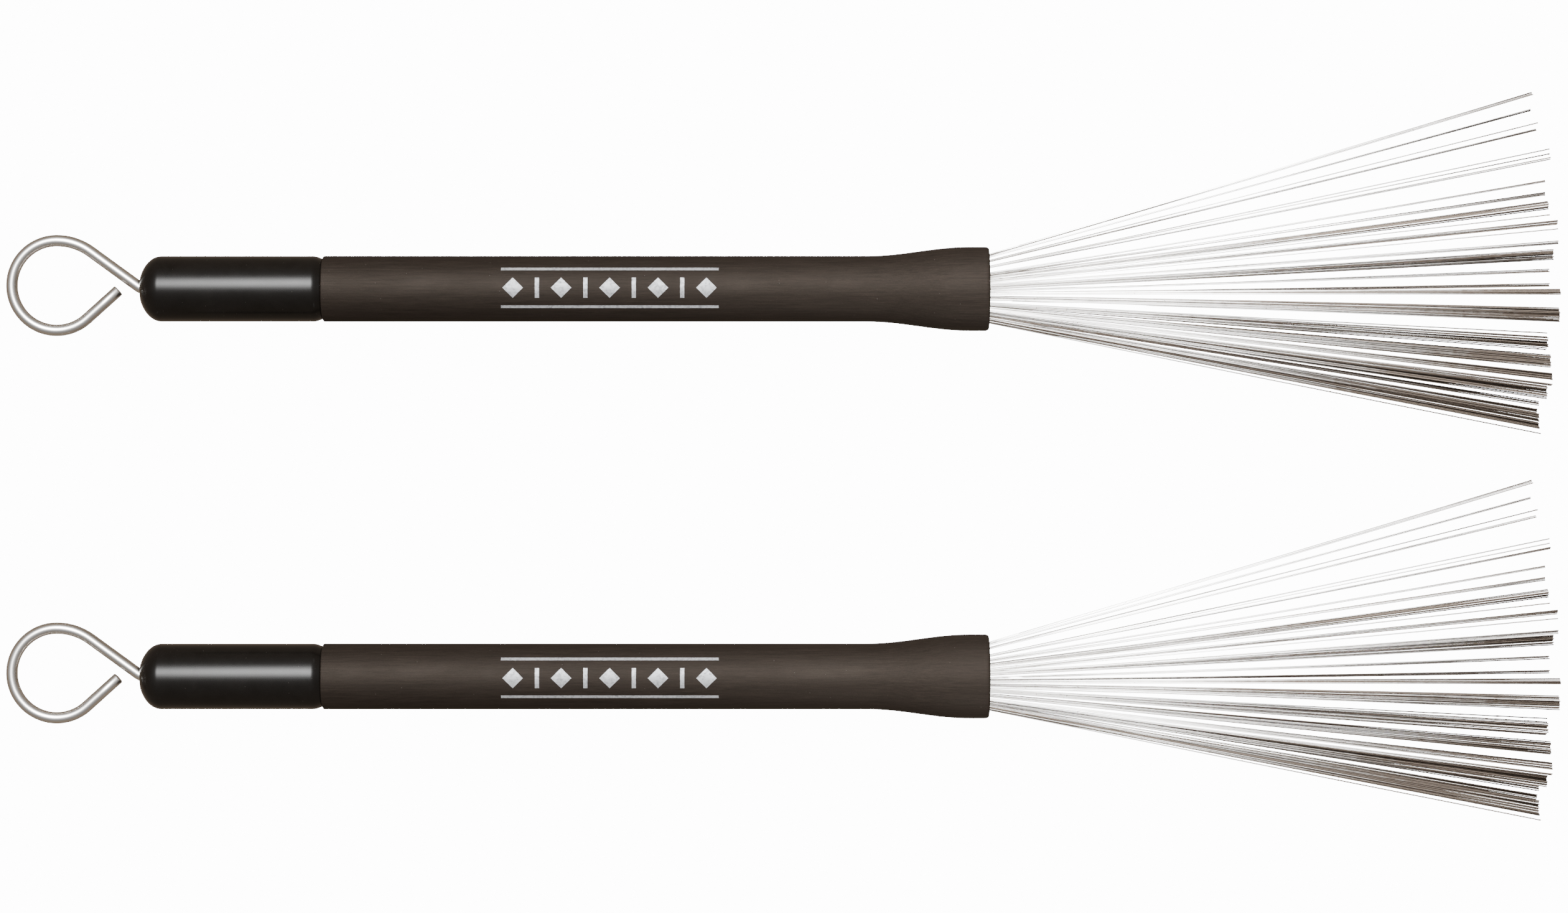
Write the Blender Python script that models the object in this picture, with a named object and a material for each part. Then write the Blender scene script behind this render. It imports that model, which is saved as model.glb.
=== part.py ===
# A pair of wire drum brushes. Each has a flared rubber grip and a glossy butt cap on a thin
# tube, and a looped steel rod that slides through them and carries a fan of fine wires.
# Metres, +Z up. Both brushes lie on a surface along X, wires towards +X, fans level with it.
# In one brush's own frame x = 0 is the grip's mouth and the X axis is the brush's centre line.
import math

import bpy
import bmesh
from mathutils import Euler, Matrix, Vector

# Fits
TOUCH_GAP = 0.0003  # between pieces that touch on the real brush
ROD_CLEARANCE = 0.0003  # round the rod in every piece that it passes through
SLIDE_CLEARANCE = 0.0004  # round the ferrule and the guide in the tube
STOP_GAP = 0.0004  # left before the rod's clip meets the bush, fully pulled back

# The pair
PAIR_GAP = 0.0141  # between one fan's last lock and the other's first, at their tips

# Tube under the grip and the cap
TUBE_RADIUS = 0.0058
TUBE_WALL = 0.0005

# Grip
GRIP_LENGTH = 0.1438
GRIP_WALL = 0.0010
GRIP_REAR_CHAMFER = 0.0006
FLARE_START = 0.0265  # behind the mouth, where the grip starts to widen
FLARE_END = 0.0040  # behind the mouth, where it has its full radius
LIP_ROUND = 0.0009  # how far the rounded outer corner runs back from the lip
LIP_DROP = 0.00041  # how far the rounded outer corner comes in
LIP_FLAT = 0.00034  # width of the lip's flat ring
MOUTH_WALL = 0.00127  # between the mouth and the outside of the flare

# Butt cap
CAP_LENGTH = 0.0392
CAP_WALL = 0.00098
CAP_DOME = 0.00445  # length of the domed end
CAP_FLAT = 0.0007  # width of the flat ring round the rod's hole
CAP_TAPER_LENGTH = 0.0021
CAP_TAPER_DROP = 0.0005
CAP_END_WALL = 0.0054
FUNNEL_RISE = 0.00065  # the rod's hole opens out for the bend
FUNNEL_DEPTH = 0.0013

# Bush and friction ring in the cap
BUSH_LENGTH = 0.0075
BUSH_FLANGE = 0.0012
RING_SECTION = 0.0016

# Rod and its loop
ROD_RADIUS = 0.00125
ROD_BEND_RADIUS = 0.0035
ARM_LENGTH = 0.01256
ARM_ANGLE = math.radians(36)
ARM_ARC_RADIUS = 0.0125
LOOP_RADIUS = 0.0097
FREE_END_ANGLE = math.radians(42)
LOOP_OPENING = 0.0033  # from the free end to the arm's centre line

# Ferrule, guide and clip on the rod's front end
FERRULE_DEPTH = 0.0245  # its front, behind the mouth
FERRULE_LENGTH = 0.0150
FERRULE_WALL = 0.00045
FERRULE_CUP_DEPTH = 0.0027
ROD_SOCKET_DEPTH = 0.0080
GUIDE_LENGTH = 0.0040
CLIP_THICKNESS = 0.0006
CLIP_RADIUS = 0.0027

# Wires. They are crimped in small locks, four across by four deep, that fan out together.
WIRE_DIAMETER = 0.0003
LOCK_CLEARANCE = 0.00042  # between the outer locks' corners and the ferrule
WIRE_BEND = 0.0100  # behind the mouth, where the wires turn out into the fan
# The fan's lines would meet at its apex, a little to the side of the centre line.
FAN_APEX_DEPTH = 0.0295  # behind the mouth
FAN_APEX_OFFSET = -0.00127
FAN_TUBE_CLEARANCE = 0.00095  # from the last lock's middle to the tube's front end
FAN_MOUTH_CLEARANCE = 0.00069  # from the first lock's middle to the mouth's wall, at the lip
TIP_PITCH = 0.00075  # between the wires of one lock
LAYER_BEND_RISE = 1.2  # of a layer's height at the bend, as a multiple of that at the root
LAYER_TIP_RISE = 2.2
# From one side of the fan to the other: height of the tip over the centre line, reach past
# the mouth, number of wires. The fan is thin on one side and thick on the other.
LOCKS = (
    (0.0407, 0.1182, 5),
    (0.0353, 0.1194, 3),
    (0.0287, 0.1210, 4),
    (0.0223, 0.1222, 5),
    (0.0178, 0.1220, 7),
    (0.0122, 0.1226, 7),
    (0.0077, 0.1237, 8),
    (0.0024, 0.1225, 5),
    (-0.0008, 0.1240, 4),
    (-0.0054, 0.1234, 10),
    (-0.0112, 0.1228, 9),
    (-0.0156, 0.1221, 9),
    (-0.0194, 0.1215, 5),
    (-0.0224, 0.1213, 9),
    (-0.0256, 0.1204, 6),
    (-0.0290, 0.1201, 11),
)
# The layer of each lock, four to a column across the ferrule. The fan's outermost locks lie
# in the inner layers, and neighbours in a layer stand at least three locks apart in the fan.
LAYERS = (
    (0.5, -0.5, 1.5, -1.5),
    (0.5, 1.5, -1.5, -0.5),
    (1.5, 0.5, -1.5, -0.5),
    (1.5, 0.5, -1.5, -0.5),
)

# Facets round each piece
GRIP_SEGMENTS = 32
INNER_SEGMENTS = 24
ROD_SEGMENTS = 10

# What follows from the sizes above
tube_bore = TUBE_RADIUS - TUBE_WALL
sleeve_bore = TUBE_RADIUS + TOUCH_GAP
grip_radius = sleeve_bore + GRIP_WALL
cap_radius = sleeve_bore + CAP_WALL
rod_hole = ROD_RADIUS + ROD_CLEARANCE
funnel_radius = rod_hole + FUNNEL_RISE
slider_radius = tube_bore - SLIDE_CLEARANCE
cup_radius = slider_radius - FERRULE_WALL

cap_front = -GRIP_LENGTH - TOUCH_GAP
cap_rear = cap_front - CAP_LENGTH
bush_rear = cap_rear + CAP_END_WALL + TOUCH_GAP
bush_front = bush_rear + BUSH_LENGTH
tube_rear = bush_rear + BUSH_FLANGE + TOUCH_GAP
ring_radius = rod_hole + RING_SECTION / 2

ferrule_front = -FERRULE_DEPTH
ferrule_rear = ferrule_front - FERRULE_LENGTH
cup_floor = ferrule_front - FERRULE_CUP_DEPTH
guide_front = ferrule_rear - TOUCH_GAP
guide_rear = guide_front - GUIDE_LENGTH
clip_front = guide_rear - TOUCH_GAP
clip_rear = clip_front - CLIP_THICKNESS
rod_front = ferrule_rear + ROD_SOCKET_DEPTH - TOUCH_GAP
rod_travel = clip_rear - bush_front - STOP_GAP

brush_spacing = LOCKS[0][0] - LOCKS[-1][0] + PAIR_GAP
# the corners of the square of locks just fit the round cup
lock_pitch = ((cup_radius - LOCK_CLEARANCE) * math.sqrt(2) + TOUCH_GAP) / len(LAYERS)
lock_size = lock_pitch - TOUCH_GAP

# the mouth clears the first lock, and the tube ends where its bore would meet the last one
first_slope = (LOCKS[0][0] - FAN_APEX_OFFSET) / (LOCKS[0][1] + FAN_APEX_DEPTH)
last_slope = (LOCKS[-1][0] - FAN_APEX_OFFSET) / (LOCKS[-1][1] + FAN_APEX_DEPTH)
mouth_radius = FAN_APEX_OFFSET + first_slope * FAN_APEX_DEPTH + FAN_MOUTH_CLEARANCE
flare_radius = mouth_radius + MOUTH_WALL
last_low = FAN_TUBE_CLEARANCE - tube_bore
tube_front = (last_low - FAN_APEX_OFFSET) / last_slope - FAN_APEX_DEPTH
mouth_floor = tube_front + TOUCH_GAP


def clear_scene():
    for item in list(bpy.data.objects):
        bpy.data.objects.remove(item)


def plain_material(name, color, roughness, metallic=0.0):
    material = bpy.data.materials.new(name)
    material.use_nodes = True
    shader = material.node_tree.nodes["Principled BSDF"]
    shader.inputs["Base Color"].default_value = (*color, 1.0)
    shader.inputs["Roughness"].default_value = roughness
    shader.inputs["Metallic"].default_value = metallic
    return material


def finished_mesh(name, bm, material):
    bmesh.ops.recalc_face_normals(bm, faces=bm.faces)
    mesh = bpy.data.meshes.new(name)
    bm.to_mesh(mesh)
    bm.free()
    mesh.materials.append(material)
    mesh.shade_smooth()
    mesh.set_sharp_from_angle(angle=math.radians(35))
    return mesh


def turned_mesh(name, profile, segments, material):
    """Turns a profile of (x, radius) points round the X axis. One that starts on the axis also
    ends on it; any other is a closed outline of a ring."""
    bm = bmesh.new()
    points = [bm.verts.new((x, 0, radius)) for x, radius in profile]
    edges = [bm.edges.new(pair) for pair in zip(points, points[1:])]
    on_axis = profile[0][1] == 0
    if not on_axis:
        edges.append(bm.edges.new((points[-1], points[0])))
    bmesh.ops.spin(
        bm,
        geom=points + edges,
        cent=(0, 0, 0),
        axis=(1, 0, 0),
        angle=math.tau,
        steps=segments,
        use_merge=True,
    )
    if on_axis:
        bmesh.ops.remove_doubles(bm, verts=bm.verts, dist=1e-7)
    return finished_mesh(name, bm, material)


def arc_points(centre, across, up, start, end, steps):
    """Points on an ellipse with these half axes, from one angle in degrees to another."""
    turns = [math.radians(start + (end - start) * i / steps) for i in range(steps + 1)]
    return [(centre[0] + across * math.cos(a), centre[1] + up * math.sin(a)) for a in turns]


def grip_mesh():
    flare_steps = 8
    outside = [
        (-GRIP_LENGTH, grip_radius - GRIP_REAR_CHAMFER),
        (-GRIP_LENGTH + GRIP_REAR_CHAMFER, grip_radius),
    ]
    for i in range(flare_steps + 1):
        share = i / flare_steps
        ease = (1 - math.cos(math.pi * share)) / 2
        x = -FLARE_START + (FLARE_START - FLARE_END) * share
        outside.append((x, grip_radius + (flare_radius - grip_radius) * ease))
    lip_outer = flare_radius - LIP_DROP
    lip_inner = lip_outer - LIP_FLAT
    outside += arc_points((-LIP_ROUND, lip_outer), LIP_ROUND, LIP_DROP, 90, 0, 3)
    inner_round = lip_inner - mouth_radius
    inside = arc_points((-inner_round, lip_inner), inner_round, inner_round, 0, -90, 2)
    inside += [
        (mouth_floor, tube_bore),
        (mouth_floor, sleeve_bore),
        (-GRIP_LENGTH, sleeve_bore),
    ]
    rubber = plain_material("grip_rubber", (0.045, 0.036, 0.032), 0.62)
    return turned_mesh("grip_sleeve", outside + inside, GRIP_SEGMENTS, rubber)


def cap_mesh():
    flat_angle = math.degrees(math.asin((funnel_radius + CAP_FLAT) / cap_radius))
    dome_reach = CAP_DOME / math.cos(math.radians(flat_angle))
    outside = [
        (cap_front, cap_radius - CAP_TAPER_DROP),
        (cap_front - CAP_TAPER_LENGTH, cap_radius),
    ]
    dome_start = (cap_rear + CAP_DOME, 0)
    outside += arc_points(dome_start, dome_reach, cap_radius, 90, 180 - flat_angle, 7)
    hole = [
        (cap_rear, funnel_radius),
        (cap_rear + FUNNEL_DEPTH, rod_hole),
        (cap_rear + CAP_END_WALL, rod_hole),
        (cap_rear + CAP_END_WALL, sleeve_bore),
        (cap_front, sleeve_bore),
    ]
    gloss = plain_material("cap_plastic", (0.016, 0.014, 0.013), 0.22)
    return turned_mesh("butt_cap", outside + hole, GRIP_SEGMENTS, gloss)


def tube_mesh():
    profile = [
        (tube_rear, TUBE_RADIUS),
        (tube_front, TUBE_RADIUS),
        (tube_front, tube_bore),
        (tube_rear, tube_bore),
    ]
    metal = plain_material("tube_aluminium", (0.72, 0.73, 0.74), 0.35, 1.0)
    return turned_mesh("handle_tube", profile, INNER_SEGMENTS, metal)


def bush_mesh():
    body = tube_bore - TOUCH_GAP
    pocket = ring_radius + RING_SECTION / 2 + TOUCH_GAP
    pocket_floor = bush_rear + RING_SECTION + TOUCH_GAP
    profile = [
        (bush_rear, TUBE_RADIUS),
        (bush_rear + BUSH_FLANGE, TUBE_RADIUS),
        (bush_rear + BUSH_FLANGE, body),
        (bush_front, body),
        (bush_front, rod_hole),
        (pocket_floor, rod_hole),
        (pocket_floor, pocket),
        (bush_rear, pocket),
    ]
    nylon = plain_material("bush_nylon", (0.80, 0.78, 0.72), 0.45)
    return turned_mesh("rear_bush", profile, INNER_SEGMENTS, nylon)


def ring_mesh():
    half = RING_SECTION / 2
    centre = (bush_rear + half, ring_radius)
    profile = arc_points(centre, half, half, 0, 360, 8)[:-1]
    rubber = plain_material("ring_rubber", (0.02, 0.02, 0.02), 0.6)
    return turned_mesh("friction_ring", profile, INNER_SEGMENTS, rubber)


def ferrule_mesh():
    chamfer = FERRULE_WALL
    socket_end = ferrule_rear + ROD_SOCKET_DEPTH
    profile = [
        (cup_floor, 0),
        (cup_floor, cup_radius),
        (ferrule_front, cup_radius),
        (ferrule_front, slider_radius),
        (ferrule_rear + chamfer, slider_radius),
        (ferrule_rear, slider_radius - chamfer),
        (ferrule_rear, rod_hole),
        (socket_end, rod_hole),
        (socket_end, 0),
    ]
    steel = plain_material("ferrule_steel", (0.62, 0.61, 0.59), 0.3, 1.0)
    return turned_mesh("ferrule", profile, INNER_SEGMENTS, steel)


def guide_mesh():
    profile = [
        (guide_rear, slider_radius),
        (guide_front, slider_radius),
        (guide_front, rod_hole),
        (guide_rear, rod_hole),
    ]
    nylon = plain_material("guide_nylon", (0.80, 0.78, 0.72), 0.45)
    return turned_mesh("slide_guide", profile, INNER_SEGMENTS, nylon)


def clip_mesh():
    profile = [
        (clip_rear, CLIP_RADIUS),
        (clip_front, CLIP_RADIUS),
        (clip_front, rod_hole),
        (clip_rear, rod_hole),
    ]
    steel = plain_material("clip_steel", (0.45, 0.44, 0.43), 0.35, 1.0)
    return turned_mesh("rod_clip", profile, INNER_SEGMENTS, steel)


def rod_path():
    """(point, heading) pairs along the rod's centre line, from its front end to the loop's end."""
    path = []
    point = Vector((rod_front, 0))
    heading = math.pi

    def straight(length):
        nonlocal point
        point = point + length * Vector((math.cos(heading), math.sin(heading)))
        path.append((point, heading))

    def bend(radius, turn, steps):
        nonlocal point, heading
        side = math.copysign(math.pi / 2, turn)
        centre = point + radius * Vector((math.cos(heading + side), math.sin(heading + side)))
        for _ in range(steps):
            heading += turn / steps
            out = heading - side
            point = centre + radius * Vector((math.cos(out), math.sin(out)))
            path.append((point, heading))

    path.append((point, heading))
    straight(rod_front - (cap_rear + FUNNEL_DEPTH))
    bend(ROD_BEND_RADIUS, -ARM_ANGLE, 5)
    arm_start, arm_heading = point, heading
    straight(ARM_LENGTH)
    bend(ARM_ARC_RADIUS, ARM_ANGLE, 5)
    bend(LOOP_RADIUS, math.pi + FREE_END_ANGLE, 22)
    arm = Vector((math.cos(arm_heading), math.sin(arm_heading)))
    ahead = Vector((math.cos(heading), math.sin(heading)))
    straight(arm.cross(arm_start - point) / arm.cross(ahead) - LOOP_OPENING)
    return path


def rod_mesh():
    bm = bmesh.new()
    rings = []
    for point, heading in rod_path():
        across = Vector((-math.sin(heading), math.cos(heading), 0))
        ring = []
        for i in range(ROD_SEGMENTS):
            turn = math.tau * i / ROD_SEGMENTS
            offset = ROD_RADIUS * (across * math.cos(turn) + Vector((0, 0, math.sin(turn))))
            ring.append(bm.verts.new(point.to_3d() + offset))
        rings.append(ring)
    for ring, following in zip(rings, rings[1:]):
        for i in range(ROD_SEGMENTS):
            j = (i + 1) % ROD_SEGMENTS
            bm.faces.new((ring[i], ring[j], following[j], following[i]))
    bm.faces.new(rings[0])
    bm.faces.new(reversed(rings[-1]))
    steel = plain_material("rod_steel", (0.78, 0.77, 0.75), 0.12, 1.0)
    return finished_mesh("pull_rod", bm, steel)


def lock_root(number):
    """The middle of a lock's crimped root, which is where the lock hinges."""
    column, place = divmod(number, len(LAYERS[0]))
    layer = LAYERS[column][place]
    across = (len(LAYERS) - 1) / 2 - column
    middle = (ferrule_front + cup_floor + TOUCH_GAP) / 2
    return Vector((middle, across * lock_pitch, layer * lock_pitch))


def fan_height(tip_height, reach, x):
    """Height at x on the straight line from the fan's apex to a tip."""
    share = (x + FAN_APEX_DEPTH) / (reach + FAN_APEX_DEPTH)
    return FAN_APEX_OFFSET + (tip_height - FAN_APEX_OFFSET) * share


def lock_mesh(number, steel):
    tip_height, reach, count = LOCKS[number]
    root = lock_root(number)
    rows = 2 if count <= 8 else 3
    columns = math.ceil(count / rows)
    half_length = (FERRULE_CUP_DEPTH - TOUCH_GAP) / 2
    bm = bmesh.new()
    quarter = math.pi / 2
    face_forward = Euler((quarter, 0, quarter)).to_matrix().to_4x4()
    for x in (-half_length, half_length):
        place = Matrix.Translation((x, 0, 0)) @ face_forward
        bmesh.ops.create_grid(
            bm, x_segments=columns, y_segments=rows, size=lock_size / 2, matrix=place
        )
    rims = [edge for edge in bm.edges if edge.is_boundary]
    bmesh.ops.bridge_loops(bm, edges=rims)
    # where the lock's middle is at the bend and at the tips, and the pitch of its wires there
    bend = fan_height(tip_height, reach, -WIRE_BEND)
    stations = (
        (-WIRE_BEND, bend, LAYER_BEND_RISE, WIRE_DIAMETER),
        (reach, tip_height, LAYER_TIP_RISE, TIP_PITCH),
    )
    half_wire = WIRE_DIAMETER * math.sqrt(math.pi) / 4  # a square of the round wire's area
    cells = [f for f in bm.faces if all(v.co.x > half_length * 0.99 for v in f.verts)]
    cells.sort(key=lambda f: (abs(round(f.calc_center_median().z, 6)), f.calc_center_median().y))
    for face in cells[:count]:
        middle = face.calc_center_median()
        cell = Vector((0, middle.y * columns, middle.z * rows)) / lock_size
        for x, height, rise, pitch in stations:
            centre = Vector((x, height, root.z * rise)) - root + cell * pitch
            before = face.calc_center_median()
            face = bmesh.ops.extrude_discrete_faces(bm, faces=[face])["faces"][0]
            for vert in face.verts:
                side = vert.co - before
                vert.co = centre + Vector(
                    (0, math.copysign(half_wire, side.y), math.copysign(half_wire, side.z))
                )
    return finished_mesh(f"wire_lock_{number + 1:02d}", bm, steel)


def add_empty(name, parent, location=(0, 0, 0)):
    empty = bpy.data.objects.new(name, None)
    bpy.context.collection.objects.link(empty)
    empty.parent = parent
    empty.location = location
    return empty


def add_piece(name, mesh, parent, location=(0, 0, 0)):
    piece = bpy.data.objects.new(name, mesh)
    bpy.context.collection.objects.link(piece)
    piece.parent = parent
    piece.location = location
    return piece


def add_brush(side, y, pair, handle_meshes, rod_meshes, lock_meshes):
    handle = add_empty(f"{side}_handle_frame", pair, (0, y, 0))
    rod = add_empty(f"{side}_rod_frame", handle)
    pieces = [add_piece(f"{side}_{mesh.name}", mesh, handle) for mesh in handle_meshes]
    pieces += [add_piece(f"{side}_{mesh.name}", mesh, rod) for mesh in rod_meshes]
    for number, mesh in enumerate(lock_meshes):
        pieces.append(add_piece(f"{side}_{mesh.name}", mesh, rod, lock_root(number)))
    return pieces


def stand_on_origin(pair, pieces):
    """Puts the middle of the pair's lowest side at the world's origin."""
    bpy.context.view_layer.update()
    corners = [piece.matrix_world @ Vector(c) for piece in pieces for c in piece.bound_box]
    low = Vector(min(c[i] for c in corners) for i in range(3))
    high = Vector(max(c[i] for c in corners) for i in range(3))
    middle = (low + high) / 2
    pair.location = (-middle.x, -middle.y, -low.z)
    bpy.context.view_layer.update()


def main():
    clear_scene()
    handle_meshes = [grip_mesh(), tube_mesh(), cap_mesh(), bush_mesh(), ring_mesh()]
    rod_meshes = [rod_mesh(), guide_mesh(), clip_mesh(), ferrule_mesh()]
    wire_steel = plain_material("wire_steel", (0.80, 0.78, 0.75), 0.2, 1.0)
    lock_meshes = [lock_mesh(number, wire_steel) for number in range(len(LOCKS))]
    pair = add_empty("brush_pair", None)
    pieces = []
    for side, y in (("left", brush_spacing / 2), ("right", -brush_spacing / 2)):
        pieces += add_brush(side, y, pair, handle_meshes, rod_meshes, lock_meshes)
    stand_on_origin(pair, pieces)


main()
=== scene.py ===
import math
import random

import bmesh
import bpy
from mathutils import Matrix, Vector


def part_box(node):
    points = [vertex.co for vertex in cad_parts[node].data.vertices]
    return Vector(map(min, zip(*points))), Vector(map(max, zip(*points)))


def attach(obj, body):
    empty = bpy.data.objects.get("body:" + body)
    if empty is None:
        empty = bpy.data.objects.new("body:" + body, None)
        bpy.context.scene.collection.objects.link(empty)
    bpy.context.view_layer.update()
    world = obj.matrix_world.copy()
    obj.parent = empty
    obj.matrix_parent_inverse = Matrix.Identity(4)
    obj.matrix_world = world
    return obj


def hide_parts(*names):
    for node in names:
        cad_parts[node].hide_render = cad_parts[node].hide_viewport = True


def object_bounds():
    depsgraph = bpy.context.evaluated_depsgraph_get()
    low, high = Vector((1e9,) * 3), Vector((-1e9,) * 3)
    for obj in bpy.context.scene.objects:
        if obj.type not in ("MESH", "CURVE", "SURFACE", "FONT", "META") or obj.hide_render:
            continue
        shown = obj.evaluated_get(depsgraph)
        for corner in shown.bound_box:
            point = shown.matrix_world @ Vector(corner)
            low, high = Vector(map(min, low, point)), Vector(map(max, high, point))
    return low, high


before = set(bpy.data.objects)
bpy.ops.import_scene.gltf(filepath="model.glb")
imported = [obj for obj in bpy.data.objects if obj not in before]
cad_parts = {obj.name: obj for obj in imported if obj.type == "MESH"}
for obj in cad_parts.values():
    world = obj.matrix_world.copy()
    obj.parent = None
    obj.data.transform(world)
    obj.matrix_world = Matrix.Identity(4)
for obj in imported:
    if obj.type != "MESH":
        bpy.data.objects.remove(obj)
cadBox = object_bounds()
print("frame loaded:", len(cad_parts), "nodes")

sides = ("left", "right")
lockCount = sum(name.startswith("left_wire_lock_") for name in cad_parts)


def corners(node):
    low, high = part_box(node)
    return Vector(low), Vector(high)


def axisOf(side):  # the brush's centre line at its mouth
    low, high = corners(f"{side}_grip_sleeve")
    return Vector((high.x, (low.y + high.y) / 2, (low.z + high.z) / 2))


def pointsBetween(node, low, high):  # the node's vertices in a stretch along X
    spots = [v.co.copy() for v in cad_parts[node].data.vertices]
    return [p for p in spots if low <= p.x <= high]


def reachOut(node, side, low, high):  # the stretch's greatest distance from the centre line
    axis = axisOf(side)
    return max(math.hypot(p.y - axis.y, p.z - axis.z) for p in pointsBetween(node, low, high))


def finished(name, bm, material, body, node=None, sharpAngle=35):
    bmesh.ops.recalc_face_normals(bm, faces=bm.faces)
    mesh = bpy.data.meshes.new(name)
    bm.to_mesh(mesh)
    bm.free()
    mesh.materials.append(material)
    mesh.shade_smooth()
    mesh.set_sharp_from_angle(angle=math.radians(sharpAngle))
    piece = bpy.data.objects.new(name, mesh)
    bpy.context.scene.collection.objects.link(piece)
    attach(piece, body)
    if node:
        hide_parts(node)
    return piece


def arcPoints(centre, across, up, start, end, steps):  # along an ellipse, angles in degrees
    turns = [math.radians(start + (end - start) * i / steps) for i in range(steps + 1)]
    return [(centre[0] + across * math.cos(a), centre[1] + up * math.sin(a)) for a in turns]


def turned(profile, axis, segments):  # a closed outline of (x, radius) points, spun round the axis
    bm = bmesh.new()
    points = [bm.verts.new((x, axis.y, axis.z + radius)) for x, radius in profile]
    edges = [bm.edges.new(pair) for pair in zip(points, points[1:] + points[:1])]
    bmesh.ops.spin(bm, geom=points + edges, cent=(0, axis.y, axis.z), axis=(1, 0, 0),
                   angle=math.tau, steps=segments, use_merge=True)
    return bm


def carry(bm, edges, matrix):  # extrudes a ring of edges and moves the new ring
    made = bmesh.ops.extrude_edge_only(bm, edges=edges)["geom"]
    verts = [g for g in made if isinstance(g, bmesh.types.BMVert)]
    bmesh.ops.transform(bm, matrix=matrix, verts=verts)
    edges = [g for g in made if isinstance(g, bmesh.types.BMEdge) and all(v in verts for v in g.verts)]
    return edges, verts


def facing(point, direction):  # a matrix that takes the XY plane to a place, square to a direction
    turn = Vector(direction).to_track_quat("Z", "Y").to_matrix().to_4x4()
    return Matrix.Translation(point) @ turn


def newGroup(name, inputs, outputs):
    group = bpy.data.node_groups.new(name, "ShaderNodeTree")
    for label, value in inputs.items():
        socket = group.interface.new_socket(label, in_out="INPUT", socket_type="NodeSocketFloat")
        socket.default_value = value
    for label in outputs:
        group.interface.new_socket(label, in_out="OUTPUT", socket_type="NodeSocketFloat")
    nodes = group.nodes
    return group, nodes, group.links, nodes.new("NodeGroupInput"), nodes.new("NodeGroupOutput")


def mathNode(nodes, links, operation, *values):
    node = nodes.new("ShaderNodeMath")
    node.operation = operation
    for socket, value in zip(node.inputs, values):
        if isinstance(value, bpy.types.NodeSocket):
            links.new(value, socket)
        else:
            socket.default_value = value
    return node.outputs[0]


def ranged(nodes, links, value, fromLow, fromHigh, toLow=0.0, toHigh=1.0):
    node = nodes.new("ShaderNodeMapRange")
    for socket, item in zip(node.inputs, (value, fromLow, fromHigh, toLow, toHigh)):
        if isinstance(item, bpy.types.NodeSocket):
            links.new(item, socket)
        else:
            socket.default_value = item
    return node.outputs[0]


def noiseNode(nodes, links, vector, scale, detail=3.0, roughness=0.55, distortion=0.0):
    node = nodes.new("ShaderNodeTexNoise")
    links.new(vector, node.inputs["Vector"])
    for label, item in (("Scale", scale), ("Detail", detail), ("Roughness", roughness),
                        ("Distortion", distortion)):
        if isinstance(item, bpy.types.NodeSocket):
            links.new(item, node.inputs[label])
        else:
            node.inputs[label].default_value = item
    return node.outputs["Fac"]


def stretched(nodes, links, vector, amount):  # squeezes a pattern's X, so that it runs lengthwise
    parts = nodes.new("ShaderNodeSeparateXYZ")
    links.new(vector, parts.inputs[0])
    joined = nodes.new("ShaderNodeCombineXYZ")
    links.new(mathNode(nodes, links, "MULTIPLY", parts.outputs["X"], amount), joined.inputs["X"])
    links.new(parts.outputs["Y"], joined.inputs["Y"])
    links.new(parts.outputs["Z"], joined.inputs["Z"])
    return joined.outputs[0]


# fine lines that run along the piece: a light and dark mask, and a height
def makeGrain():
    group, nodes, links, given, result = newGroup(
        "lengthwiseGrain",
        {"Lines per Metre": 3000.0, "Stretch": 0.03, "Contrast": 0.5, "Breaks": 60.0},
        ("Mask", "Height"),
    )
    vectorIn = group.interface.new_socket("Vector", in_out="INPUT", socket_type="NodeSocketVector")
    place = given.outputs[vectorIn.name]
    lines = noiseNode(nodes, links, stretched(nodes, links, place, given.outputs["Stretch"]),
                      given.outputs["Lines per Metre"], 4.0, 0.6)
    breaks = noiseNode(nodes, links, place, given.outputs["Breaks"], 2.0)
    half = mathNode(nodes, links, "MULTIPLY", given.outputs["Contrast"], 0.5)
    low = mathNode(nodes, links, "SUBTRACT", 0.5, half)
    mask = ranged(nodes, links, lines, 0.3, 0.7, low, mathNode(nodes, links, "ADD", 0.5, half))
    patchy = ranged(nodes, links, breaks, 0.35, 0.65, 0.45, 1.0)
    centred = mathNode(nodes, links, "SUBTRACT", mask, 0.5)
    links.new(mathNode(nodes, links, "MULTIPLY_ADD", centred, patchy, 0.5), result.inputs["Mask"])
    links.new(mathNode(nodes, links, "MULTIPLY", lines, patchy), result.inputs["Height"])
    return group


# broad soft patches where hands have polished or dulled the surface
def makeHandling():
    group, nodes, links, given, result = newGroup(
        "handlingWear", {"Patches per Metre": 60.0, "Cover": 0.5, "Softness": 0.2}, ("Mask",)
    )
    vectorIn = group.interface.new_socket("Vector", in_out="INPUT", socket_type="NodeSocketVector")
    place = given.outputs[vectorIn.name]
    patches = noiseNode(nodes, links, place, given.outputs["Patches per Metre"], 5.0, 0.6, 0.4)
    middle = mathNode(nodes, links, "SUBTRACT", 1.0, given.outputs["Cover"])
    low = mathNode(nodes, links, "SUBTRACT", middle, given.outputs["Softness"])
    high = mathNode(nodes, links, "ADD", middle, given.outputs["Softness"])
    links.new(ranged(nodes, links, patches, low, high), result.inputs["Mask"])
    return group


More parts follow.
